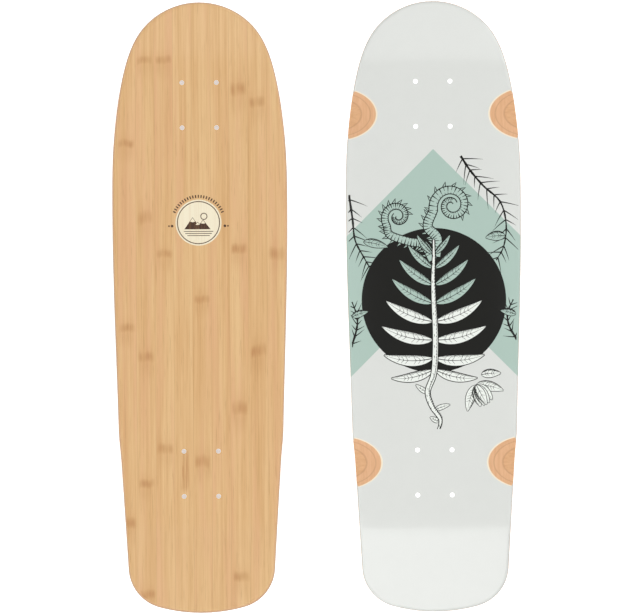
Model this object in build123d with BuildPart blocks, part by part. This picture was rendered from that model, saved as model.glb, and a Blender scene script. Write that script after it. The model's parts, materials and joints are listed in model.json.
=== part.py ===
"""A skateboard deck: seven plies pressed to a shallow bowl with a kicked nose and tail.

The top ply is edge-glued bamboo strips and the six below it are maple. X runs along the board
with the nose at +X, and Z is up through the riding face. The origin is midway between the two
truck hole patterns, on the flat of the underside.
"""

from build123d import *
import math
import os

# ---------------------------------------------------------------- driving sizes, mm and degrees

# Truck holes
pitch_along = 53.975  # 2 1/8 in, along the board
pitch_across = 41.275  # 1 5/8 in, across it
wheelbase = 387.35  # 15 1/4 in, from the inner holes of one truck to those of the other
hole_diameter = 5.6  # clears a 10-32 bolt

# Outline from above
deck_width = 209.6  # at the widest
nose_length = 96.0  # outer front holes to the tip of the nose
tail_length = 139.5  # outer rear holes to the tip of the tail
nose_radius = 88.0
nose_sweep = 44.0  # the nose's arc turns through this on each side of the centre line
shoulder_back = 80.0  # tip of the nose to the shoulder
shoulder_inset = 15.4  # how far in from the widest the shoulder lies
cheek_back = 150.0  # tip of the nose to the cheek, between the shoulder and the widest place
cheek_inset = 3.8
widest_ahead = 98.0  # the widest place, ahead of the board's middle
waist_ahead = 26.0  # the waist at the rear wheels starts this far ahead of the inner rear holes
waist_inset = 6.2  # how far in from the widest the waist starts
waist_length = 38.0
waist_step = 3.1  # how far the outline steps in along the waist
waist_taper = 1.4  # the flank leans in by this where the waist starts
tail_taper = 3.5  # and by this behind it
tail_corner_radius = 50.0
tail_end_radius = 190.0

# Plies, from the top down
bamboo_thickness = 1.5
strip_width = 22.4  # of each bamboo strip
strip_shift = 1.9  # middle of a strip, to the right of the centre line
narrowest_strip = 4.0  # an edge strip that would be narrower stays part of its neighbour
maple_thickness = 1.55
maple_plies = ["upper_core_ply", "upper_cross_ply", "middle_core_ply",
               "lower_cross_ply", "lower_core_ply", "back_ply"]

# Moulded shape of the underside
belly_width = 76.0  # the flat down the middle
concave_rise = 9.0  # rails above the belly, at the widest
nose_angle = 13.0
nose_bend_start = 16.0  # outer front holes to the start of the nose's bend
tail_angle = 18.0
tail_bend_start = 22.0  # outer rear holes to the start of the tail's bend
bend_radius = 110.0

# Rails and wheel wells
rail_radius = 4.0
well_length = 62.0  # along the rail
well_depth = 4.5  # at the rail
well_reach = 33.0  # in from the rail
well_offset = 12.0  # from the middle of a truck's holes towards the middle of the board

spare = 20.0  # how far blanks and cutters reach past the board
upright = 0.2  # the normal of a side face rises less than this, that of any other face more

# -------------------------------------------------------------------------------- derived sizes

half_width = deck_width / 2
inner_hole_x = wheelbase / 2
outer_hole_x = inner_hole_x + pitch_along
truck_x = (inner_hole_x + outer_hole_x) / 2
nose_x = outer_hole_x + nose_length
tail_x = -outer_hole_x - tail_length
thickness = bamboo_thickness + maple_thickness * len(maple_plies)

belly_half = belly_width / 2
concave_span = half_width - belly_half
concave_radius = (concave_span**2 + concave_rise**2) / (2 * concave_rise)
curl = math.degrees(math.asin((concave_span + spare) / (concave_radius - thickness)))

nose_bend_x = outer_hole_x + nose_bend_start
tail_bend_x = -outer_hole_x - tail_bend_start
nose_run = nose_x + spare - nose_bend_x
tail_run = tail_bend_x - tail_x + spare
tallest_kick = max(
    nose_run * math.tan(math.radians(nose_angle)), tail_run * math.tan(math.radians(tail_angle))
)

# the kicks and the rails all end below this height
headroom = tallest_kick + 2 * concave_rise + thickness + spare


def underside_height(y):
    """Height of the underside above the belly, at a distance from the centre line."""
    out = max(y - belly_half, 0)
    return concave_radius - math.sqrt(concave_radius**2 - out**2)


# -------------------------------------------------------------------------------------- outline


def heading(taper):
    """Direction along the left flank towards the tail, leaning in by an angle."""
    return (-math.cos(math.radians(taper)), -math.sin(math.radians(taper)))


shoulder = (nose_x - shoulder_back, half_width - shoulder_inset)
cheek = (nose_x - cheek_back, half_width - cheek_inset)
widest = (widest_ahead, half_width)
waist_start = (waist_ahead - inner_hole_x, half_width - waist_inset)
waist_end = (waist_start[0] - waist_length, waist_start[1] - waist_step)

with BuildSketch() as outline:
    with BuildLine():
        nose_arc = CenterArc((nose_x - nose_radius, 0), nose_radius, 0, nose_sweep)
        nose_flank = Spline(
            nose_arc @ 1, shoulder, cheek, widest, tangents=[nose_arc % 1, heading(0)]
        )
        middle_flank = Spline(widest, waist_start, tangents=[heading(0), heading(waist_taper)])
        waist = Spline(
            waist_start, waist_end, tangents=[heading(waist_taper), heading(tail_taper)]
        )
        tail_circle = CenterArc(
            (tail_x + tail_end_radius, 0), tail_end_radius, 90, 90, mode=Mode.PRIVATE
        )
        tail_flank = IntersectingLine(waist_end, heading(tail_taper), tail_circle)
        RadiusArc(tail_flank @ 1, (tail_x, 0), -tail_end_radius)
        mirror(about=Plane.XZ)
    make_face()
    rearmost = outline.vertices().sort_by(Axis.X)[:2]
    fillet(rearmost, radius=tail_corner_radius)


def half_width_at(x):
    """Half the outline's width at a place along the board."""
    across = outline.face().intersect(Edge.make_line((x, 0), (x, deck_width)))
    return across.edges()[0].bounding_box().max.Y


# --------------------------------------------------------------------------------- pressed shape


def pressed_sheet(low, high):
    """A sheet bent as the deck is, between two heights above the underside, with spare all round."""
    with BuildPart() as sheet:
        with BuildSketch(Plane((nose_bend_x, 0, 0), x_dir=(0, 1, 0), z_dir=(1, 0, 0))):
            with BuildLine():
                lower_flat = Line((0, low), (belly_half, low))
                lower_curl = JernArc(lower_flat @ 1, lower_flat % 1, concave_radius - low, curl)
                upper_flat = Line((0, high), (belly_half, high))
                upper_curl = JernArc(upper_flat @ 1, upper_flat % 1, concave_radius - high, curl)
                Line(lower_curl @ 1, upper_curl @ 1)
                mirror(about=Plane.YZ)
            make_face()
        extrude(amount=tail_bend_x - nose_bend_x)
        for end, bend_x, angle, run in (
            (-1, nose_bend_x, -nose_angle, nose_run),
            (0, tail_bend_x, tail_angle, tail_run),
        ):
            revolve(
                sheet.faces().sort_by(Axis.X)[end],
                axis=Axis((bend_x, 0, bend_radius), (0, 1, 0)),
                revolution_arc=angle,
            )
            extrude(sheet.faces().sort_by(Axis.X)[end], amount=run)
    return sheet.part


# ------------------------------------------------------------------------------------ wheel wells

drum_radius = (well_length**2 / 4 + well_depth**2) / (2 * well_depth)

with BuildPart() as drums:
    for well_x in (truck_x - well_offset, well_offset - truck_x):
        rail_y = half_width_at(well_x)
        start_y = rail_y - well_reach
        climb = underside_height(rail_y) + well_depth - underside_height(start_y)
        lean = math.atan2(climb, well_reach)
        along = Vector(0, math.cos(lean), math.sin(lean))
        below = Vector(0, math.sin(lean), -math.cos(lean))
        top_of_drum = Vector(well_x, start_y, underside_height(start_y))
        with BuildSketch(Plane(origin=top_of_drum + below * drum_radius, z_dir=along)):
            Circle(drum_radius)
        extrude(amount=well_reach + spare)
    mirror(about=Plane.XZ)

# ------------------------------------------------------------------------------ the whole board

with BuildPart() as board:
    add(pressed_sheet(0, thickness))
    extrude(outline.sketch, amount=headroom, mode=Mode.INTERSECT)
    side_faces = board.faces().filter_by(lambda face: abs(face.normal_at().Z) < upright)
    fillet(side_faces.edges().filter_by(Axis.Z, reverse=True), radius=rail_radius)
    for side in (-1, 1):
        with Locations((side * truck_x, 0, 0)):
            with GridLocations(pitch_along, pitch_across, 2, 2):
                Hole(hole_diameter / 2)
    add(drums.part, mode=Mode.SUBTRACT)

# ------------------------------------------------------------------------------------- the plies


os.makedirs("parts", exist_ok=True)

ply_top = thickness - bamboo_thickness

for name in maple_plies:
    with BuildPart() as ply:
        add(board.part)
        add(pressed_sheet(ply_top - maple_thickness, ply_top), mode=Mode.INTERSECT)
    ply.part.label = name
    export_step(ply.part, f"parts/{name}.step")
    ply_top -= maple_thickness

with BuildPart() as bamboo_ply:
    add(board.part)
    add(pressed_sheet(thickness - bamboo_thickness, thickness), mode=Mode.INTERSECT)

# the seams lie half a strip to each side of the middle strip's centre, then a strip apart
outermost_seam = half_width - narrowest_strip
first = math.ceil((strip_shift - outermost_seam) / strip_width - 0.5)
last = math.floor((strip_shift + outermost_seam) / strip_width - 0.5)
seams = [(step + 0.5) * strip_width - strip_shift for step in range(first, last + 1)]
sides = [-half_width - spare, *seams, half_width + spare]

for number, (right, left) in enumerate(zip(sides, sides[1:]), start=1):
    with BuildPart() as strip:
        add(bamboo_ply.part)
        with BuildSketch():
            with Locations(((nose_x + tail_x) / 2, (right + left) / 2)):
                Rectangle(nose_x - tail_x + spare, left - right)
        extrude(amount=headroom, mode=Mode.INTERSECT)
    strip.part.label = f"bamboo_strip_{number:02d}"
    export_step(strip.part, f"parts/{strip.part.label}.step")
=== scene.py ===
import json
import math

import bmesh
import bpy
import numpy as np
from mathutils import Matrix, Vector
from mathutils.geometry import delaunay_2d_cdt


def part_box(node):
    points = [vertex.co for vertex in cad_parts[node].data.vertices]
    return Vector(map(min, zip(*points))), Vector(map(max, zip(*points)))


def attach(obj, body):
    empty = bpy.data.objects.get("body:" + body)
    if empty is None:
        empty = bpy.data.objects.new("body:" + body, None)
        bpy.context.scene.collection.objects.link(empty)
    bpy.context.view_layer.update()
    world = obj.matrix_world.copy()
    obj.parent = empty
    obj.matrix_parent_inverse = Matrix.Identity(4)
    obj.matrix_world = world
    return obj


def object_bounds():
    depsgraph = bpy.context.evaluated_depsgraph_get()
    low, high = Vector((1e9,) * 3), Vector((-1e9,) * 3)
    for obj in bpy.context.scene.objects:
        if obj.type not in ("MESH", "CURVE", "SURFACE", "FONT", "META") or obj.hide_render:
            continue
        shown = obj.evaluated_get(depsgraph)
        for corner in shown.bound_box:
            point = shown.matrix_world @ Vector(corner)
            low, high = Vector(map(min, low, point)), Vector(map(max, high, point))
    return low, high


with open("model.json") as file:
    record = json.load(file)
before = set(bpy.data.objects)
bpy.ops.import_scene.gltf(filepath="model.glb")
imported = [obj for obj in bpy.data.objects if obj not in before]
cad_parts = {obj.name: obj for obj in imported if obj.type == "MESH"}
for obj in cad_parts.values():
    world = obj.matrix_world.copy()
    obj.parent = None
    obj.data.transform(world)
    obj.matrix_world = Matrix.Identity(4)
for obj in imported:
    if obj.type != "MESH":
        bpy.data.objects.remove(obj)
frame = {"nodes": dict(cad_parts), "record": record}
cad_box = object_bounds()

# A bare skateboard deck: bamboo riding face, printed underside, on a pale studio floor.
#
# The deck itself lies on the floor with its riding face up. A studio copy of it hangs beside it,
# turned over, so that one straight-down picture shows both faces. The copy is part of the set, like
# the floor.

MM = 0.001

# ------------------------------------------------------------------- the deck's sizes, in metres

mounts = {mount["name"]: mount for mount in frame["record"]["mounts"]}
TOP_Z = mounts["riding_face"]["pos_m"][2]
DECK_WIDTH = cad_box[1].y - cad_box[0].y
BAMBOO_THICKNESS = 1.5 * MM
MAPLE_PLIES = 6
PLY = (TOP_Z - BAMBOO_THICKNESS) / MAPLE_PLIES
BEND_X = 262 * MM  # the board is straight for this far each way from its middle

# the moulded shape of the underside, as in the CAD model
BELLY_HALF = 38 * MM
CONCAVE_RISE = 9 * MM
CONCAVE_SPAN = DECK_WIDTH / 2 - BELLY_HALF
CONCAVE_RADIUS = (CONCAVE_SPAN**2 + CONCAVE_RISE**2) / (2 * CONCAVE_RISE)

STRIPS = sorted(name for name in frame["nodes"] if name.startswith("bamboo_strip"))
CROSS_PLIES = ("upper_cross_ply", "lower_cross_ply")
LONG_PLIES = ("upper_core_ply", "middle_core_ply", "lower_core_ply")


def linear(red, green, blue, alpha=1.0):
    """A colour given as 0 to 255 on a screen, as the linear colour that shaders take."""

    def channel(value):
        value /= 255
        return value / 12.92 if value <= 0.04045 else ((value + 0.055) / 1.055) ** 2.4

    return (channel(red), channel(green), channel(blue), alpha)


# ---------------------------------------------------------------------------------- shader nodes


class Shader:
    """A material with one Principled shader, and short calls that add and wire its nodes."""

    def __init__(self, name):
        self.material = bpy.data.materials.new(name)
        self.material.use_nodes = True
        self.tree = self.material.node_tree
        self.surface = self.tree.nodes["Principled BSDF"]
        where = self.node("ShaderNodeTexCoord").outputs["Object"]
        self.where = where
        parts = self.node("ShaderNodeSeparateXYZ", {0: where})
        self.x, self.y, self.z = parts.outputs

    def node(self, kind, inputs=None, **settings):
        made = self.tree.nodes.new(kind)
        for key, value in settings.items():
            setattr(made, key, value)
        for key, value in (inputs or {}).items():
            if isinstance(value, bpy.types.NodeSocket):
                self.tree.links.new(value, made.inputs[key])
            else:
                made.inputs[key].default_value = value
        return made

    def math(self, operation, first, second=0.0, third=0.0, clamp=False):
        made = self.node(
            "ShaderNodeMath", {0: first, 1: second, 2: third}, operation=operation, use_clamp=clamp
        )
        return made.outputs[0]

    def step(self, value, start, end):
        """0 where value is at start, 1 where it is at end, and smooth between."""
        made = self.node(
            "ShaderNodeMapRange",
            {"Value": value, "From Min": start, "From Max": end},
            interpolation_type="SMOOTHSTEP",
        )
        return made.outputs["Result"]

    def noise(self, per_metre, detail=2.0, roughness=0.5, shift=0.0):
        """Noise with this many grains a metre along X, Y and Z."""
        moved = self.node(
            "ShaderNodeMapping",
            {"Vector": self.where, "Location": (shift, shift, shift), "Scale": per_metre},
        )
        made = self.node(
            "ShaderNodeTexNoise",
            {"Vector": moved.outputs[0], "Scale": 1.0, "Detail": detail, "Roughness": roughness},
        )
        return made.outputs["Fac"]

    def mix(self, share, first, second, blend="MIX"):
        made = self.node(
            "ShaderNodeMix", {0: share, 6: first, 7: second}, data_type="RGBA", blend_type=blend
        )
        return made.outputs[2]

    def set(self, **sockets):
        """Puts a number, colour or link on the Principled shader's own sockets."""
        for key, value in sockets.items():
            socket = self.surface.inputs[key.replace("_", " ").title().replace("Ior", "IOR")]
            if isinstance(value, bpy.types.NodeSocket):
                self.tree.links.new(value, socket)
            else:
                socket.default_value = value

    def bump(self, height, strength, distance):
        made = self.node(
            "ShaderNodeBump", {"Height": height, "Strength": strength, "Distance": distance}
        )
        self.tree.links.new(made.outputs[0], self.surface.inputs["Normal"])

    def band(self, value, middle, half, soft):
        """1 within half of the middle, falling to 0 over soft beyond it."""
        away = self.math("ABSOLUTE", self.math("SUBTRACT", value, middle))
        return self.step(away, half + soft, half)


RAIL_GRIME_AND_SHADE = linear(186, 158, 128)  # the rail, darker where its face stands upright: partly grime on the plies' sanded edges, partly painted shade
CROSS_RAIL_GRAIN_AND_SHADE = linear(142, 106, 76)  # the rail of a cross ply: its end grain is darker, plus painted shade where the face stands upright

# ------------------------------------------------------------------------------------- the bamboo

# Where the bamboo's knuckles cross each strip, in millimetres along the board
KNUCKLES = {
    "bamboo_strip_01": (42,),
    "bamboo_strip_02": (224, -74),
    "bamboo_strip_03": (240, 48, -142, -344),
    "bamboo_strip_04": (),
    "bamboo_strip_05": (-11, -206),
    "bamboo_strip_06": (),
    "bamboo_strip_07": (275, 44, -191),
    "bamboo_strip_08": (275, 86, -81, -232, -365),
    "bamboo_strip_09": (176, -45, -280),
    "bamboo_strip_10": (),
}
# How much darker or lighter each strip is than the next
STRIP_TONES = (0.02, -0.01, 0.03, -0.03, 0.0, 0.05, 0.01, -0.04, 0.0, -0.02)

BAMBOO_PALE = linear(234, 195, 142)
BAMBOO_MID = linear(223, 178, 124)
BAMBOO_DEEP = linear(203, 153, 98)
BAMBOO_ROSY = linear(229, 178, 134)
BAMBOO_FIBRE = linear(176, 124, 72)
BAMBOO_KNUCKLE = linear(190, 132, 80)
BAMBOO_SEAM = linear(186, 138, 88)


def bamboo_colour(shader, tone, shift):
    """Pale wood with broad streaks, fine fibres and short dark dashes, all along the board."""
    broad = shader.noise((3.2, 75, 3), detail=3, shift=shift)
    streaks = shader.noise((6, 430, 6), detail=4, roughness=0.7, shift=shift)
    dashes = shader.noise((24, 900, 24), detail=2, roughness=0.7, shift=shift)
    share = shader.math("MULTIPLY_ADD", broad, 0.9, -0.05 - tone)
    streaked = shader.math("MULTIPLY_ADD", streaks, 1.2, -0.6)
    share = shader.math("ADD", share, streaked, clamp=True)
    colour = shader.mix(shader.step(share, 0.15, 0.62), BAMBOO_PALE, BAMBOO_MID)
    colour = shader.mix(shader.step(share, 0.5, 0.95), colour, BAMBOO_DEEP)
    rosy = shader.noise((4, 60, 4), detail=2, shift=shift + 11)
    blush = shader.math("MULTIPLY", shader.step(rosy, 0.45, 0.68), 0.55)
    colour = shader.mix(blush, colour, BAMBOO_ROSY)
    marks = shader.math("MULTIPLY", shader.step(dashes, 0.57, 0.76), 0.42)
    return shader.mix(marks, colour, BAMBOO_FIBRE), streaks, dashes


def knuckle_marks(shader, places, shift):
    """Where the strip's knuckles darken it: ragged bands across it, a few millimetres long, each
    with a wider, fainter painted shadow a little below it.
    """
    waves = shader.noise((9, 85, 9), detail=1, shift=shift)
    ragged = shader.noise((14, 420, 14), detail=2, roughness=0.6, shift=shift)
    along = shader.math("ADD", shader.x, shader.math("MULTIPLY_ADD", waves, 8 * MM, -4 * MM))
    along = shader.math("ADD", along, shader.math("MULTIPLY_ADD", ragged, 4 * MM, -2 * MM))
    marks = None
    for place in places:
        size = 0.75 + 0.5 * (abs(place) % 11) / 10
        core = shader.band(along, place * MM, 0.4 * size * MM, 11 * size * MM)
        # painted shadow: a wider, fainter darkening set a little below each knuckle
        painted_shadow_below = shader.band(along, (place - 5) * MM, 4 * MM, 26 * size * MM)
        both = shader.math("MAXIMUM", core, shader.math("MULTIPLY", painted_shadow_below, 0.3))
        marks = both if marks is None else shader.math("MAXIMUM", marks, both)
    patches = shader.noise((25, 110, 25), detail=1, shift=shift + 5)
    fine = shader.noise((30, 620, 30), detail=2, roughness=0.6, shift=shift)
    broken = shader.math("MULTIPLY_ADD", shader.step(patches, 0.24, 0.7), 0.5, 0.5)
    fibres = shader.math("MULTIPLY_ADD", shader.step(fine, 0.3, 0.7), 0.34, 0.66)
    return shader.math("MULTIPLY", marks, shader.math("MULTIPLY", broken, fibres))


def upright_grime_and_shade(shader):
    """1 where the face stands upright, at the rails, and 0 where it lies flat: the mask that paints
    the rails darker, partly for grime and partly as painted shade.
    """
    normal = shader.node("ShaderNodeTexCoord").outputs["Normal"]
    rise = shader.node("ShaderNodeSeparateXYZ", {0: normal}).outputs["Z"]
    return shader.step(shader.math("ABSOLUTE", rise), 0.85, 0.45)


def bamboo(name):
    number = STRIPS.index(name)
    right, left = (corner.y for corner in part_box(name))
    shift = 3.7 * number
    shader = Shader(f"bamboo_{number + 1:02d}")
    colour, streaks, dashes = bamboo_colour(shader, STRIP_TONES[number], shift)
    if KNUCKLES[name]:
        marks = knuckle_marks(shader, KNUCKLES[name], shift)
        inset = shader.math("MINIMUM", shader.math("SUBTRACT", shader.y, right),
                            shader.math("SUBTRACT", left, shader.y))
        marks = shader.math("MULTIPLY", marks, shader.step(inset, -0.5 * MM, 5 * MM))
        colour = shader.mix(shader.math("MULTIPLY", marks, 0.78), colour, BAMBOO_KNUCKLE)
    if name == "bamboo_strip_06":
        colour = shader.mix(dark_streak(shader), colour, BAMBOO_KNUCKLE)
    for seam in (right, left):
        line = shader.math("MULTIPLY", shader.band(shader.y, seam, 0.08 * MM, 0.3 * MM), 0.35)
        colour = shader.mix(line, colour, BAMBOO_SEAM)
    # painted shade, with some grime, darkens the strip where its face stands upright at the rails
    colour = shader.mix(shader.math("MULTIPLY", upright_grime_and_shade(shader), 0.5), colour, RAIL_GRIME_AND_SHADE)
    rough = shader.math("MULTIPLY_ADD", streaks, 0.16, 0.36)
    shader.set(base_color=colour, roughness=rough, specular_ior_level=0.32,
               coat_weight=0.12, coat_roughness=0.32)
    shader.bump(shader.math("ADD", dashes, streaks), 0.22, 0.12 * MM)
    return shader.material


def dark_streak(shader):
    """A dark vein along the sixth strip, behind the middle of the rear truck holes."""
    along = shader.band(shader.x, -218 * MM, 18 * MM, 10 * MM)
    across = shader.band(shader.y, 19.6 * MM, 2.5 * MM, 4 * MM)
    fine = shader.step(shader.noise((30, 800, 30), detail=2), 0.42, 0.62)
    return shader.math("MULTIPLY", shader.math("MULTIPLY", along, across),
                       shader.math("MULTIPLY_ADD", fine, 0.45, 0.15))


# -------------------------------------------------------------------------------------- the maple

MAPLE_LONG = (linear(224, 178, 138), linear(212, 162, 120))
MAPLE_CROSS = (linear(221, 174, 131), linear(207, 157, 113))
GLUE = linear(178, 131, 92)
BEVEL = linear(238, 226, 202)  # the chamfered rim of the print's ground, round a well
GLUE_START = 0.06 * MM  # the glue line's full tone reaches this far from a ply's face
GLUE_END = 0.2 * MM
BEVEL_START = 0.28 * MM  # the pale bevel ends between these depths above the underside
BEVEL_END = 0.46 * MM


def depth_in_plies(shader):
    """How far a point lies above the moulded underside, square to it, for the unbent run."""
    aside = shader.math("ABSOLUTE", shader.y)
    out = shader.math("MAXIMUM", shader.math("SUBTRACT", aside, BELLY_HALF), 0)
    down = shader.math("SUBTRACT", CONCAVE_RADIUS, shader.z)
    square = shader.math("ADD", shader.math("POWER", out, 2), shader.math("POWER", down, 2))
    return shader.math("SUBTRACT", CONCAVE_RADIUS, shader.math("SQRT", square))


def maple(name, bevelled=False):
    """Maple veneer with its grain along or across the board, and glue at its two faces."""
    cross = name in CROSS_PLIES
    pale, deep = MAPLE_CROSS if cross else MAPLE_LONG
    shift = 2.3 * len(name)
    shader = Shader(name)
    grain = (420, 9, 420) if cross else (9, 420, 420)
    pores = (1500, 70, 1500) if cross else (70, 1500, 1500)
    figure = shader.noise(grain, detail=4, roughness=0.6, shift=shift)
    fine = shader.noise(pores, detail=2, roughness=0.7, shift=shift)
    share = shader.math("MULTIPLY_ADD", fine, 0.35, shader.math("MULTIPLY", figure, 0.75))
    colour = shader.mix(shader.step(share, 0.3, 0.8), pale, deep)
    depth = depth_in_plies(shader)
    flat_run = shader.band(shader.x, 0, BEND_X, 1 * MM)
    phase = shader.math("PINGPONG", depth, PLY / 2)
    near_face = shader.step(phase, GLUE_END, GLUE_START)
    glue = shader.math("MULTIPLY", shader.math("MULTIPLY", near_face, flat_run), 0.36)
    colour = shader.mix(glue, colour, GLUE)
    if bevelled:
        edge = shader.math("MULTIPLY", shader.step(depth, BEVEL_END, BEVEL_START), flat_run)
        colour = shader.mix(edge, colour, BEVEL)
    # painted shade, with some grime and darker end grain, darkens the ply where its face stands
    # upright, at the rails and in the holes
    side = CROSS_RAIL_GRAIN_AND_SHADE if cross else RAIL_GRIME_AND_SHADE
    colour = shader.mix(shader.math("MULTIPLY", upright_grime_and_shade(shader), 0.6), colour, side)
    shader.set(base_color=colour, roughness=shader.math("MULTIPLY_ADD", fine, 0.2, 0.48),
               specular_ior_level=0.35)
    shader.bump(shader.math("ADD", figure, fine), 0.3, 0.15 * MM)
    return shader.material


# -------------------------------------------------------------------------------------- the print

FIELD_APEX = 166.5  # the mint chevron's two points on the centre line, in millimetres
FIELD_NOTCH = -6.0
INKS = {
    "base": linear(217, 219, 215),
    "mint": linear(173, 195, 185),
    "black": linear(31, 31, 29),
    "white": linear(234, 238, 232),
    "rail": linear(150, 152, 148),  # the print's ground on the rounded rail, darker as painted shade where it turns upright
}


def lacquered_ink(name):
    """Screen-printed ink under a clear gloss coat with a faint orange peel."""
    shader = Shader("ink_" + name)
    mottle = shader.noise((55, 55, 55), detail=4, roughness=0.6)
    speck = shader.noise((900, 900, 900), detail=1)
    ink = INKS[name]
    dark = tuple(value * 0.975 for value in ink[:3]) + (1.0,)
    share = shader.math("MULTIPLY_ADD", speck, 0.3, shader.math("MULTIPLY", mottle, 0.55))
    colour = shader.mix(shader.step(share, 0.25, 0.75), ink, dark)
    if name == "base":
        colour = shader.mix(chevron(shader), colour, INKS["mint"])
        # painted shade on the print's ground where it turns upright over the rounded rail
        colour = shader.mix(shader.math("MULTIPLY", upright_grime_and_shade(shader), 0.6), colour, INKS["rail"])
    shader.set(base_color=colour, roughness=shader.math("MULTIPLY_ADD", mottle, 0.12, 0.3),
               specular_ior_level=0.1, coat_weight=0.85,
               coat_roughness=shader.math("MULTIPLY_ADD", speck, 0.05, 0.13))
    peel = shader.noise((170, 170, 170), detail=2)
    shader.bump(peel, 0.06, 0.1 * MM)
    return shader.material


def chevron(shader):
    """Where the mint field runs on over the rounded rail, beyond its drawn sheet."""
    folded = shader.math("ADD", shader.x, shader.math("ABSOLUTE", shader.y))
    above = shader.step(folded, (FIELD_NOTCH - 0.3) * MM, (FIELD_NOTCH + 0.3) * MM)
    return shader.math("MULTIPLY", above,
                       shader.step(folded, (FIELD_APEX + 0.3) * MM, (FIELD_APEX - 0.3) * MM))


def flat_ink(name, colour):
    """A thin print on bare bamboo: it lets the fibres show through a little."""
    shader = Shader(name)
    fibres = shader.noise((12, 700, 700), detail=3, roughness=0.6)
    worn = Vector(colour).lerp(Vector(BAMBOO_DEEP), 0.14)[:]
    shader.set(base_color=shader.mix(shader.step(fibres, 0.35, 0.72), colour, worn),
               roughness=shader.math("MULTIPLY_ADD", fibres, 0.14, 0.42), specular_ior_level=0.32)
    shader.bump(fibres, 0.2, 0.1 * MM)
    return shader.material


# ------------------------------------------------------------------ which CAD faces are printed


def islands(mesh):
    """The polygons in groups that share no vertex: one group for each face of the CAD model."""
    leader = list(range(len(mesh.vertices)))

    def find(vertex):
        while leader[vertex] != vertex:
            leader[vertex] = leader[leader[vertex]]
            vertex = leader[vertex]
        return vertex

    for edge in mesh.edges:
        leader[find(edge.vertices[0])] = find(edge.vertices[1])
    groups = {}
    for polygon in mesh.polygons:
        groups.setdefault(find(polygon.vertices[0]), []).append(polygon)
    return list(groups.values())


def underside_height(y):
    """Height of the moulded underside at a distance from the centre line."""
    out = max(abs(y) - BELLY_HALF, 0)
    return CONCAVE_RADIUS - math.sqrt(CONCAVE_RADIUS**2 - out**2)


LIES_FLAT = -0.8  # a polygon of the underside has a normal whose Z is below this
STANDS_UP = -0.25  # and one of an upright side has a Z above this
CARVED = 0.4 * MM  # a well's floor reaches at least this far above the moulded underside
BETWEEN_WELLS = 172  # mm along the board, each way from its middle
LEFT_RAIL = 60  # mm from the centre line: any corner further out than this is on the rail


def is_rounded_rail(group):
    """Whether a face of the back ply is its share of the rounded rail."""
    return LIES_FLAT < max(polygon.normal.z for polygon in group) < STANDS_UP


def is_printed(mesh, group):
    """Whether a face of the back ply is the moulded underside, and not a rail, a well or a hole."""
    if any(polygon.normal.z > LIES_FLAT for polygon in group):
        return False
    points = [mesh.vertices[index].co for polygon in group for index in polygon.vertices]
    return not any(
        abs(point.x) < BEND_X and point.z > underside_height(point.y) + CARVED for point in points
    )


def dress_back_ply():
    """Bare maple all round, and the print's pale ground on the underside and its rounded rail."""
    dress("back_ply", maple("back_ply", bevelled=True))
    mesh = frame["nodes"]["back_ply"].data
    mesh.materials.append(lacquered_ink("base"))
    groups = islands(mesh)
    printed = [polygon for group in groups if is_printed(mesh, group) for polygon in group]
    rail = [polygon for group in groups if is_rounded_rail(group) for polygon in group]
    for polygon in printed + rail:
        polygon.material_index = 1
    return rim_of_print(mesh, printed)


def rim_of_print(mesh, printed):
    """The printed face's edge between the front and rear wells: (distance along, half width)."""
    uses = {}
    for polygon in printed:
        for key in polygon.edge_keys:
            uses[key] = uses.get(key, 0) + 1
    rim = {index for key, count in uses.items() if count == 1 for index in key}
    corners = [mesh.vertices[index].co / MM for index in rim]
    points = {(round(corner.x, 3), round(corner.y, 3)) for corner in corners}
    return sorted(
        (along, half) for along, half in points if abs(along) < BETWEEN_WELLS and half > LEFT_RAIL
    )


def dress_plies():
    for name in STRIPS:
        dress(name, bamboo(name))
    for name in CROSS_PLIES + LONG_PLIES:
        dress(name, maple(name))


def dress(name, material):
    mesh = frame["nodes"][name].data
    mesh.materials.clear()
    mesh.materials.append(material)


# ------------------------------------------------------------------------ drawing with flat shapes

# A drawing is laid out in millimetres as it is seen, square to the printed face: (right, up), with
# the board's nose at the top and its middle at (0, 0).


NARROWEST = 0.14  # a ribbon never gets narrower than this
LONGEST_SIDE = 5.0  # longer sides get extra points, so that they can follow a curved face


def left_of(aim):
    """The direction a quarter turn to the left of another."""
    return Vector((-aim.y, aim.x))


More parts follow.
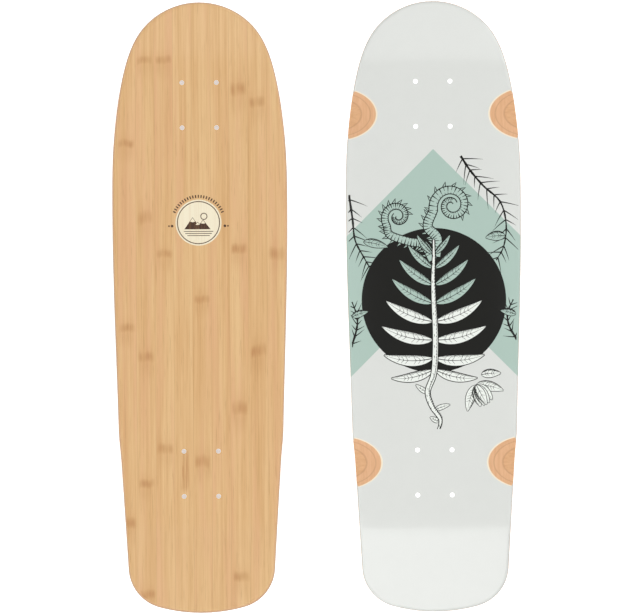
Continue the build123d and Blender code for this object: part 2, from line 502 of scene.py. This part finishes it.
class Drawing:
    """Flat shapes painted one over another, then cut so that each spot keeps its topmost ink."""

    def __init__(self):
        self.outlines = []
        self.inks = []

    def shape(self, ink, corners):
        corners = [Vector(corner[:2]) for corner in corners]
        outline = []
        for here, there in zip(corners, corners[1:] + corners[:1]):
            pieces = math.ceil((there - here).length / LONGEST_SIDE)
            outline += [here.lerp(there, k / pieces) for k in range(pieces)]
        self.outlines.append(outline)
        self.inks.append(ink)

    def disc(self, ink, centre, radius, corners=48):
        turn = math.tau / corners
        self.shape(ink, [
            (centre[0] + radius * math.cos(k * turn), centre[1] + radius * math.sin(k * turn))
            for k in range(corners)
        ])

    def ribbon(self, ink, line, widths):
        """A band along a line, with its own width at each of the line's points."""
        left, right = [], []
        for k, point in enumerate(line):
            ahead = line[min(k + 1, len(line) - 1)]
            behind = line[max(k - 1, 0)]
            aim = Vector((ahead[0] - behind[0], ahead[1] - behind[1])).normalized()
            out = left_of(aim) * max(widths[k], NARROWEST) / 2
            left.append(Vector(point) + out)
            right.append(Vector(point) - out)
        self.shape(ink, left + right[::-1])

    def leaf(self, line, width, fill, rim=0.9, veins=4, shaded=0):
        """A pointed leaf along a line: black rim, coloured blade, midrib, veins and shading."""
        last = len(line) - 1
        plump = [width * math.sin(math.pi * (k / last) ** 0.8) ** 0.85 for k in range(last + 1)]
        self.ribbon("black", line, [w + 2 * rim for w in plump])
        self.ribbon(fill, line, plump)
        self.ribbon("black", line, [rim * (1 - 0.8 * k / last) for k in range(last + 1)])
        for k in range(1, veins + 1):
            place = 0.12 + 0.68 * k / (veins + 1)
            self.veins(line, plump, place, rim * 0.6)
        if shaded:
            self.shading(line, plump, shaded)

    def shading(self, line, plump, side):
        """Short strokes in from one edge of a leaf, as an engraver shades it."""
        for k in range(1, len(line) - 2):
            aim = (line[k + 1] - line[k]).normalized()
            out = left_of(aim) * side
            for part in (0.0, 0.33, 0.67):
                middle = line[k].lerp(line[k + 1], part)
                half = (plump[k] + (plump[k + 1] - plump[k]) * part) / 2
                reach = 0.42 - 0.16 * ((3 * k + int(3 * part)) % 2)
                inner = middle + (out - aim * 0.5) * half * (1 - reach)
                self.ribbon("black", [middle + out * half, inner], [0.75, 0.3])

    def veins(self, line, plump, place, weight):
        """A pair of side veins that leave the midrib part of the way along a leaf."""
        last = len(line) - 1
        k = min(int(place * last), last - 1)
        start, ahead = Vector(line[k]), Vector(line[k + 1])
        aim = (ahead - start).normalized()
        for side in (-1, 1):
            out = left_of(aim) * side
            tip = start + (aim * 0.8 + out) * plump[k] * 0.36
            self.ribbon("black", [start, tip], [weight, weight * 0.4])

    def cut(self, spacing=None):
        """Corners, and for each ink the triangles it covers. With spacing, a grid of extra corners
        lets the triangles follow a curved face. A first shape without ink bounds the drawing."""
        points, sides = [], []
        for outline in self.outlines:
            first, count = len(points), len(outline)
            points += outline
            sides += [(first + k, first + (k + 1) % count) for k in range(count)]
        if spacing:
            points += grid_over(points, spacing)
        corners, _, triangles, *_ = delaunay_2d_cdt(points, sides, [], 0, 1e-4)
        flat = np.array([corner[:] for corner in corners])
        triangles = np.array(triangles)
        middles = flat[triangles].mean(axis=1)
        top = np.full(len(triangles), -1)
        for number, outline in enumerate(self.outlines):
            top[inside(middles, np.array([point[:] for point in outline]))] = number
        if self.inks[0] is None:
            bounded = inside(middles, np.array([point[:] for point in self.outlines[0]]))
            top[np.setdiff1d(np.arange(len(top)), bounded)] = -1
        cut = {}
        for triangle, number in zip(triangles.tolist(), top):
            if number >= 0 and self.inks[number]:
                cut.setdefault(self.inks[number], []).append(triangle)
        return corners, cut


def inside(points, outline):
    """Which of the points a closed outline winds round."""
    low, high = outline.min(axis=0), outline.max(axis=0)
    near = np.flatnonzero(((points > low) & (points < high)).all(axis=1))
    right, up = points[near].T
    winds = np.zeros(len(near), int)
    for start, end in zip(outline, np.roll(outline, -1, axis=0)):
        side = (end[0] - start[0]) * (up - start[1]) - (end[1] - start[1]) * (right - start[0])
        winds += (start[1] <= up) & (up < end[1]) & (side > 0)
        winds -= (end[1] <= up) & (up < start[1]) & (side < 0)
    return near[winds != 0]


def grid_over(points, spacing):
    """Points of a square grid, a little askew so that none lies on a drawn line."""
    low_right = min(point.x for point in points)
    low_up = min(point.y for point in points)
    across = int((max(point.x for point in points) - low_right) / spacing)
    tall = int((max(point.y for point in points) - low_up) / spacing)
    return [
        Vector((low_right + (i + 0.437) * spacing, low_up + (j + 0.391) * spacing))
        for i in range(across)
        for j in range(tall)
    ]


SHARP = math.radians(40)
PROUD = 0.03 * MM  # how far a sheet stands out of the face it lies on
BURIED = 0.25 * MM  # and how far it reaches into it


def lay(name, corners, triangles, place, material):
    """Makes the triangles a thin closed sheet. place gives a corner's two points in space."""
    sheet = bmesh.new()
    made = {}
    for triangle in triangles:
        for index in triangle:
            if index not in made:
                made[index] = sheet.verts.new(place(corners[index])[0])
        sheet.faces.new([made[index] for index in triangle])
    for pinch in [vertex for vertex in sheet.verts if not vertex.is_manifold]:
        bmesh.utils.vert_separate(pinch, [edge for edge in pinch.link_edges if edge.is_boundary])
    thickness = place(corners[triangles[0][0]])[1] - place(corners[triangles[0][0]])[0]
    for face in sheet.faces:
        face.smooth = True
    copied = bmesh.ops.extrude_face_region(sheet, geom=sheet.faces[:], use_keep_orig=True)
    for item in copied["geom"]:
        if isinstance(item, bmesh.types.BMVert):
            item.co += thickness
    bmesh.ops.recalc_face_normals(sheet, faces=sheet.faces[:])
    for edge in sheet.edges:
        edge.smooth = not edge.is_manifold or edge.calc_face_angle() < SHARP
    mesh = bpy.data.meshes.new(name)
    sheet.to_mesh(mesh)
    sheet.free()
    mesh.materials.append(material)
    piece = bpy.data.objects.new(name, mesh)
    bpy.context.scene.collection.objects.link(piece)
    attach(piece, "root")


def on_underside(corner):
    face = Vector((corner[1] * MM, corner[0] * MM, underside_height(corner[0] * MM)))
    return face - Vector((0, 0, PROUD)), face + Vector((0, 0, BURIED))


def on_riding_face(corner):
    face = Vector((corner[1] * MM, -corner[0] * MM, TOP_Z))
    return face + Vector((0, 0, PROUD)), face - Vector((0, 0, BURIED))


# --------------------------------------------------------------------------- lines for the drawing


def heading(angle):
    """The direction at an angle in degrees, clockwise from straight up."""
    return Vector((math.sin(math.radians(angle)), math.cos(math.radians(angle))))


def angle_of(aim):
    """The angle in degrees, clockwise from straight up, of a direction."""
    return math.degrees(math.atan2(aim.x, aim.y))


def bow(start, aim, length, bend=0.0, steps=10):
    """A line that sets off from start at an angle and turns by bend on its way."""
    line = [Vector(start)]
    for k in range(steps):
        line.append(line[-1] + heading(aim + bend * (k + 0.5) / steps) * length / steps)
    return line


def smooth_line(stops, steps=7):
    """A line that passes smoothly through its stops."""
    stops = [Vector(stop) for stop in stops]
    padded = [2 * stops[0] - stops[1], *stops, 2 * stops[-1] - stops[-2]]
    line = []
    for a, b, c, d in zip(padded, padded[1:], padded[2:], padded[3:]):
        for k in range(steps):
            t = k / steps
            line.append(0.5 * (2 * b + (c - a) * t + (2 * a - 5 * b + 4 * c - d) * t**2
                               + (3 * b - a - 3 * c + d) * t**3))
    return line + [stops[-1]]


def taper(line, start, end):
    last = len(line) - 1
    return [start + (end - start) * k / last for k in range(last + 1)]


def coil(centre, radius, from_angle, turns, inner=0.2, steps=40):
    """A spiral that winds in from its radius to a share of it, clockwise for positive turns."""
    line = []
    for k in range(steps + 1):
        t = k / steps
        reach = radius * (1 - (1 - inner) * t**0.85)
        line.append(Vector(centre) + heading(from_angle + 360 * turns * t) * reach)
    return line


# ---------------------------------------------------------------------------- the underside's print

DISC_CENTRE = (0, -14.5)
DISC_RADIUS = 86.5
STEM_STOPS = ((-9, -185), (2, -174), (7, -158), (-3, -142), (-8, -124), (-1, -104), (1.2, -80),
              (1.4, -50), (0, -20), (-0.8, 10), (0, 34), (0, 58))


# Each pair of leaves: how far up the stem, angle from straight up, length, bend and ink
LEAF_PAIRS = (
    (-98, 118, 52, -34, "white"),
    (-84, 104, 60, -36, "white"),
    (-62, 92, 64, -34, "white"),
    (-40, 82, 62, -32, "white"),
    (-18, 74, 57, -30, "mint"),
    (4, 66, 50, -26, "mint"),
    (24, 58, 40, -22, "mint"),
    (41, 48, 29, -18, "mint"),
)


def draw_ground(drawing, rim):
    """The mint chevron, cut off at the rails, and the black disc over it."""
    left = [(-half, along) for along, half in rim]
    right = [(half, along) for along, half in reversed(rim)]
    drawing.shape(None, left + right)
    reach = DECK_WIDTH / 2 / MM + 3
    drawing.shape("mint", [
        (0, FIELD_APEX), (-reach, FIELD_APEX - reach), (-reach, FIELD_NOTCH - reach),
        (0, FIELD_NOTCH), (reach, FIELD_NOTCH - reach), (reach, FIELD_APEX - reach),
    ])
    drawing.disc("black", DISC_CENTRE, DISC_RADIUS, corners=160)


def draw_frond(drawing):
    """A stem with pairs of pointed leaves, mint at the top and white lower down."""
    for up, aim, length, bend, fill in LEAF_PAIRS:
        for side in (-1, 1):
            line = bow((side * 1.5, up), side * aim, length, side * bend, steps=12)
            drawing.leaf(line, length * 0.21, fill, rim=1.0, veins=6, shaded=side)
    draw_stem(drawing)


def draw_stem(drawing):
    """From the frond's tip down to a bare runner that winds to a point."""
    stem = smooth_line(STEM_STOPS)
    last = len(stem) - 1
    widths = [7.8 * math.sin(math.pi * (k / last) ** 0.8 * 0.86) + 0.3 for k in range(last + 1)]
    drawing.ribbon("black", stem, widths)
    hollow = [k for k in range(last + 1) if widths[k] > 3.2]
    drawing.ribbon("white", [stem[k] for k in hollow], [widths[k] - 2.2 for k in hollow])
    for k in hollow[2:-2]:
        drawing.ribbon("black", bow(stem[k] + Vector((1.4, 0)), 12, 4.5, steps=1), [0.9, 0.3])
        if k % 3 == 0:
            drawing.ribbon("black", bow(stem[k] - Vector((1.2, 1)), 170, 3.0, steps=1), [0.7, 0.3])


def draw_fiddlehead(drawing, stops, centre, radius, from_angle, turns, width):
    """A young fern: a stalk that ends in a coil, banded and fringed with small leaves."""
    spiral = coil(centre, radius, from_angle, turns)
    line = smooth_line([*stops, spiral[0]], steps=6)[:-1] + spiral
    widths = taper(line, width, width * 0.34)
    side = 1 if turns > 0 else -1
    for k in range(2, len(line) - 22, 2):
        aim = (line[k + 1] - line[k]).normalized()
        out = left_of(aim) * side
        lean = angle_of(out + aim * 0.8)
        fringe = bow(line[k] + out * widths[k] / 2, lean, 7.5, -18 * side, steps=4)
        drawing.ribbon("black", fringe, [3.4, 3.6, 2.8, 1.5, 0.2])
        drawing.ribbon("mint", fringe[:4], [1.4, 1.6, 0.9, 0.2])
    drawing.ribbon("black", line, [w + 2.4 for w in widths])
    drawing.ribbon("mint", line, widths)
    for k in range(2, len(line) - 4):
        aim = (line[k + 1] - line[k]).normalized()
        out = left_of(aim) * side
        half = widths[k] / 2
        thick = 1.5 if k % 2 else 0.9
        deep = 0.45 if k % 2 else 0.05
        drawing.ribbon("black", [line[k] + out * half, line[k] - out * half * deep], [thick, 0.5])
        drawing.ribbon("black", [line[k] - out * half, line[k] - out * half * 0.55], [0.7, 0.3])


def draw_needles(drawing, stops, length, spread):
    """A pine twig: a knobbly stem with needles that leave it in pairs."""
    line = smooth_line(stops, steps=5)
    stem = [2.6 - 1.6 * k / len(line) + 0.7 * (k % 3 == 0) for k in range(len(line))]
    drawing.ribbon("black", line, stem)
    for k in range(1, len(line) - 1, 2):
        ahead = angle_of(line[k + 1] - line[k])
        for side in (-1, 1):
            reach = length * (0.78 + 0.22 * math.sin(2.3 * k + side))
            turn = side * (spread + 9 * math.sin(1.7 * k))
            needle = bow(line[k], ahead + turn, reach, -side * 8, steps=4)
            drawing.ribbon("black", needle, [1.5, 1.3, 1.0, 0.6, 0.15])


def draw_blossom(drawing, centre, aim, size):
    """A bud of overlapping petals on a pair of leaves."""
    for turn in (-62, 58):
        line = bow(centre, aim + turn, size * 1.25, -turn * 0.4)
        drawing.leaf(line, size * 0.42, "white", rim=0.8, veins=5, shaded=1)
    for turn in (-34, 30, -14, 12, 0):
        line = bow(centre, aim + turn, size, -turn * 0.9)
        drawing.leaf(line, size * 0.36, "white", rim=0.8, veins=2, shaded=-1)


def draw_runner_leaves(drawing):
    """Small leaves on the runner below the frond."""
    for right, up, aim, length in ((-7, -126, -62, 19), (0, -146, 64, 20), (6, -160, -70, 13)):
        drawing.leaf(bow((right, up), aim, length, 14), 5.6, "white", rim=0.8, veins=3)


def draw_rails(drawing):
    """Pine twigs and single leaves along both rails."""
    long_twig = [(33, 158), (44, 141), (60, 122), (80, 103), (87, 76), (84, 50), (75, 33)]
    draw_needles(drawing, long_twig, 25, 52)
    draw_needles(drawing, [(-101, 112), (-97, 84), (-94, 58), (-84, 38), (-76, 24)], 23, 56)
    draw_needles(drawing, [(99, -62), (90, -46), (88, -30), (95, -14)], 15, 48)
    draw_needles(drawing, [(-99, -70), (-93, -50), (-92, -34), (-98, -16)], 15, 48)
    drawing.leaf(bow((-84, 56), 96, 30, 14), 9.5, "mint", shaded=1)
    drawing.leaf(bow((86, 62), -84, 24, -22), 10.5, "mint", shaded=-1)
    drawing.leaf(bow((-98, -34), 62, 20, 20), 7.5, "mint", shaded=1)
    drawing.leaf(bow((98, -32), -66, 19, -20), 7.5, "mint", shaded=-1)
    drawing.leaf(bow((56, -104), 78, 24, 16), 9.5, "white", shaded=1)
    draw_blossom(drawing, (50, -116), 152, 27)


def draw_underside(rim):
    drawing = Drawing()
    draw_ground(drawing, rim)
    draw_rails(drawing)
    tall_stalk = [(2, 38), (4, 60), (-7, 74)]
    draw_fiddlehead(drawing, tall_stalk, (22, 99), 23, -105, 1.45, 11.5)
    low_stalk = [(-1, 34), (-12, 52), (-30, 56), (-52, 64)]
    draw_fiddlehead(drawing, low_stalk, (-43, 86), 17, -130, 1.2, 9.5)
    draw_runner_leaves(drawing)
    draw_frond(drawing)
    corners, cut = drawing.cut(spacing=5)
    for ink, triangles in sorted(cut.items()):
        name = "print_" + ink
        lay(name, corners, triangles, on_underside, lacquered_ink(ink))


# ------------------------------------------------------------------------- the riding face's emblem

EMBLEM_CENTRE = (-1.7, 80)
EMBLEM_CREAM = linear(250, 240, 212)
EMBLEM_BROWN = linear(70, 47, 36)


def around_emblem(right, up):
    return (EMBLEM_CENTRE[0] + right, EMBLEM_CENTRE[1] + up)


def arc(radius, start, end, steps=40):
    """Points round the emblem's centre, between two angles clockwise from straight up."""
    angles = [start + (end - start) * k / steps for k in range(steps + 1)]
    return [around_emblem(*heading(angle) * radius) for angle in angles]


def draw_emblem():
    """A pale roundel with peaks and a low sun in it, a ring of ticks and two dots on each side."""
    drawing = Drawing()
    drawing.disc("cream", around_emblem(0, 0), 27.5, corners=96)
    drawing.ribbon("brown", arc(25.2, 0, 360, 96), [1.1] * 97)
    drawing.disc("brown", around_emblem(6.5, 7.5), 4.2)
    drawing.disc("cream", around_emblem(6.5, 7.5), 3.2)
    for right, up, half, foot in ((-7, 6.5, 10, -8), (5.5, 3.5, 9, -8), (-1, 1.0, 8.5, -8)):
        peak = [around_emblem(right - half, foot), around_emblem(right + half, foot),
                around_emblem(right, up)]
        drawing.shape("brown", peak)
        snow = [around_emblem(right - half * 0.3, up - (up - foot) * 0.3 - 0.8),
                around_emblem(right, up - (up - foot) * 0.42),
                around_emblem(right + half * 0.3, up - (up - foot) * 0.3 - 0.8),
                around_emblem(right, up - 0.8)]
        drawing.shape("cream", snow)
    for low in (-10.5, -13.0, -15.5):
        reach = math.sqrt(20.5**2 - low**2)
        drawing.ribbon("brown", [around_emblem(-reach, low), around_emblem(reach, low)], [0.8, 0.8])
    for angle in range(-66, 67, 6):
        inner, outer = arc(29.6, angle, angle, 1)[0], arc(33.2, angle, angle, 1)[0]
        drawing.ribbon("brown", [inner, outer], [1.5, 1.5])
    for side in (-1, 1):
        for out, radius in ((31.6, 1.6), (35.3, 1.0)):
            drawing.disc("brown", around_emblem(side * out, -4), radius, corners=24)
    corners, cut = drawing.cut()
    for ink, colour in (("cream", EMBLEM_CREAM), ("brown", EMBLEM_BROWN)):
        name = "emblem_" + ink
        lay(name, corners, cut[ink], on_riding_face, flat_ink(name, colour))


# --------------------------------------------------------------------------------------- the studio

COPY_ASIDE = 0.2796  # m to the right of the deck
COPY_HEIGHT = 1.5
CAMERA_HEIGHT = 3.2
VIEW_WIDTH = 0.7553
VIEW_CENTRE = (-0.0218, -0.1378)
VIEW_ROLL = 0.33  # degrees by which the photo leans
FLOOR_SIZE = 60
FLOOR_Z = -0.0002  # just below the deck's belly and its print
FLOOR_GLOW = 0.55
# Each softbox: place, width and height in metres, and watts
SOFTBOXES = {
    "softbox_nose": ((1.15, 0, 3.4), (3.0, 1.1), 13),
    "softbox_tail": ((-1.62, 0, 3.4), (3.0, 1.35), 26),
    "softbox_key": ((1.9, -3.0, 2.6), (2.2, 2.2), 34),
    "softbox_fill": ((-1.9, 3.0, 2.6), (2.2, 2.2), 26),
}
# How bright the studio is by the sine of the height looked at: white below the horizon, an even
# grey above it, and dark overhead where the camera hangs
WORLD_STOPS = ((0.0, 1.05), (0.01, 0.66), (0.85, 0.66), (0.95, 0.1))


def hang_copy():
    """Shows the deck a second time beside itself, turned over, well above the floor."""
    turned = Matrix.Translation((0, -COPY_ASIDE, COPY_HEIGHT)) @ Matrix.Rotation(math.pi, 4, "X")
    for piece in [item for item in bpy.data.objects if item.type == "MESH"]:
        twin = bpy.data.objects.new("turned_" + piece.name, piece.data)
        bpy.context.scene.collection.objects.link(twin)
        twin.matrix_world = turned @ piece.matrix_world
        twin.visible_shadow = False
        twin.visible_diffuse = False
        twin.visible_glossy = False


def add_floor():
    bpy.ops.mesh.primitive_plane_add(size=FLOOR_SIZE, location=(0, 0, FLOOR_Z))
    floor = bpy.context.object
    floor.name = "floor"
    shader = Shader("pale_floor")
    grain = shader.noise((30, 30, 30), detail=3)
    shader.set(roughness=0.9, specular_ior_level=0.1, emission_strength=FLOOR_GLOW,
               base_color=shader.mix(grain, linear(246, 246, 246), linear(243, 243, 243)),
               emission_color=linear(255, 255, 255))
    floor.data.materials.append(shader.material)


def add_softbox(name, place, size, watts):
    light = bpy.data.lights.new(name, "AREA")
    light.shape = "RECTANGLE"
    light.size, light.size_y = size
    light.energy = watts
    box = bpy.data.objects.new(name, light)
    bpy.context.scene.collection.objects.link(box)
    box.location = place
    box.rotation_euler = (-Vector(place)).to_track_quat("-Z", "Y").to_euler()


def add_world():
    world = bpy.data.worlds.new("studio")
    world.use_nodes = True
    tree = world.node_tree
    direction = tree.nodes.new("ShaderNodeTexCoord").outputs["Generated"]
    split = tree.nodes.new("ShaderNodeSeparateXYZ")
    ramp = tree.nodes.new("ShaderNodeValToRGB")
    tree.links.new(direction, split.inputs[0])
    tree.links.new(split.outputs["Z"], ramp.inputs[0])
    tree.links.new(ramp.outputs["Color"], tree.nodes["Background"].inputs["Color"])
    while len(ramp.color_ramp.elements) < len(WORLD_STOPS):
        ramp.color_ramp.elements.new(0.5)
    for element, (height, brightness) in zip(ramp.color_ramp.elements, WORLD_STOPS):
        element.position = height
        element.color = (brightness, brightness, brightness, 1)
    bpy.context.scene.world = world


def add_lights():
    """A soft grey studio, a softbox beyond each end, and a key light and a fill from the sides."""
    add_world()
    for name, (place, size, watts) in SOFTBOXES.items():
        add_softbox(name, place, size, watts)
    bpy.context.scene.view_settings.view_transform = "Standard"


def add_camera():
    lens = bpy.data.cameras.new("overhead")
    lens.type = "ORTHO"
    lens.ortho_scale = VIEW_WIDTH
    camera = bpy.data.objects.new("overhead", lens)
    bpy.context.scene.collection.objects.link(camera)
    camera.location = (*VIEW_CENTRE, CAMERA_HEIGHT)
    camera.rotation_euler = (0, 0, math.radians(-90 - VIEW_ROLL))
    bpy.context.scene.camera = camera


dress_plies()
draw_underside(dress_back_ply())
draw_emblem()
hang_copy()
add_floor()
add_lights()
add_camera()
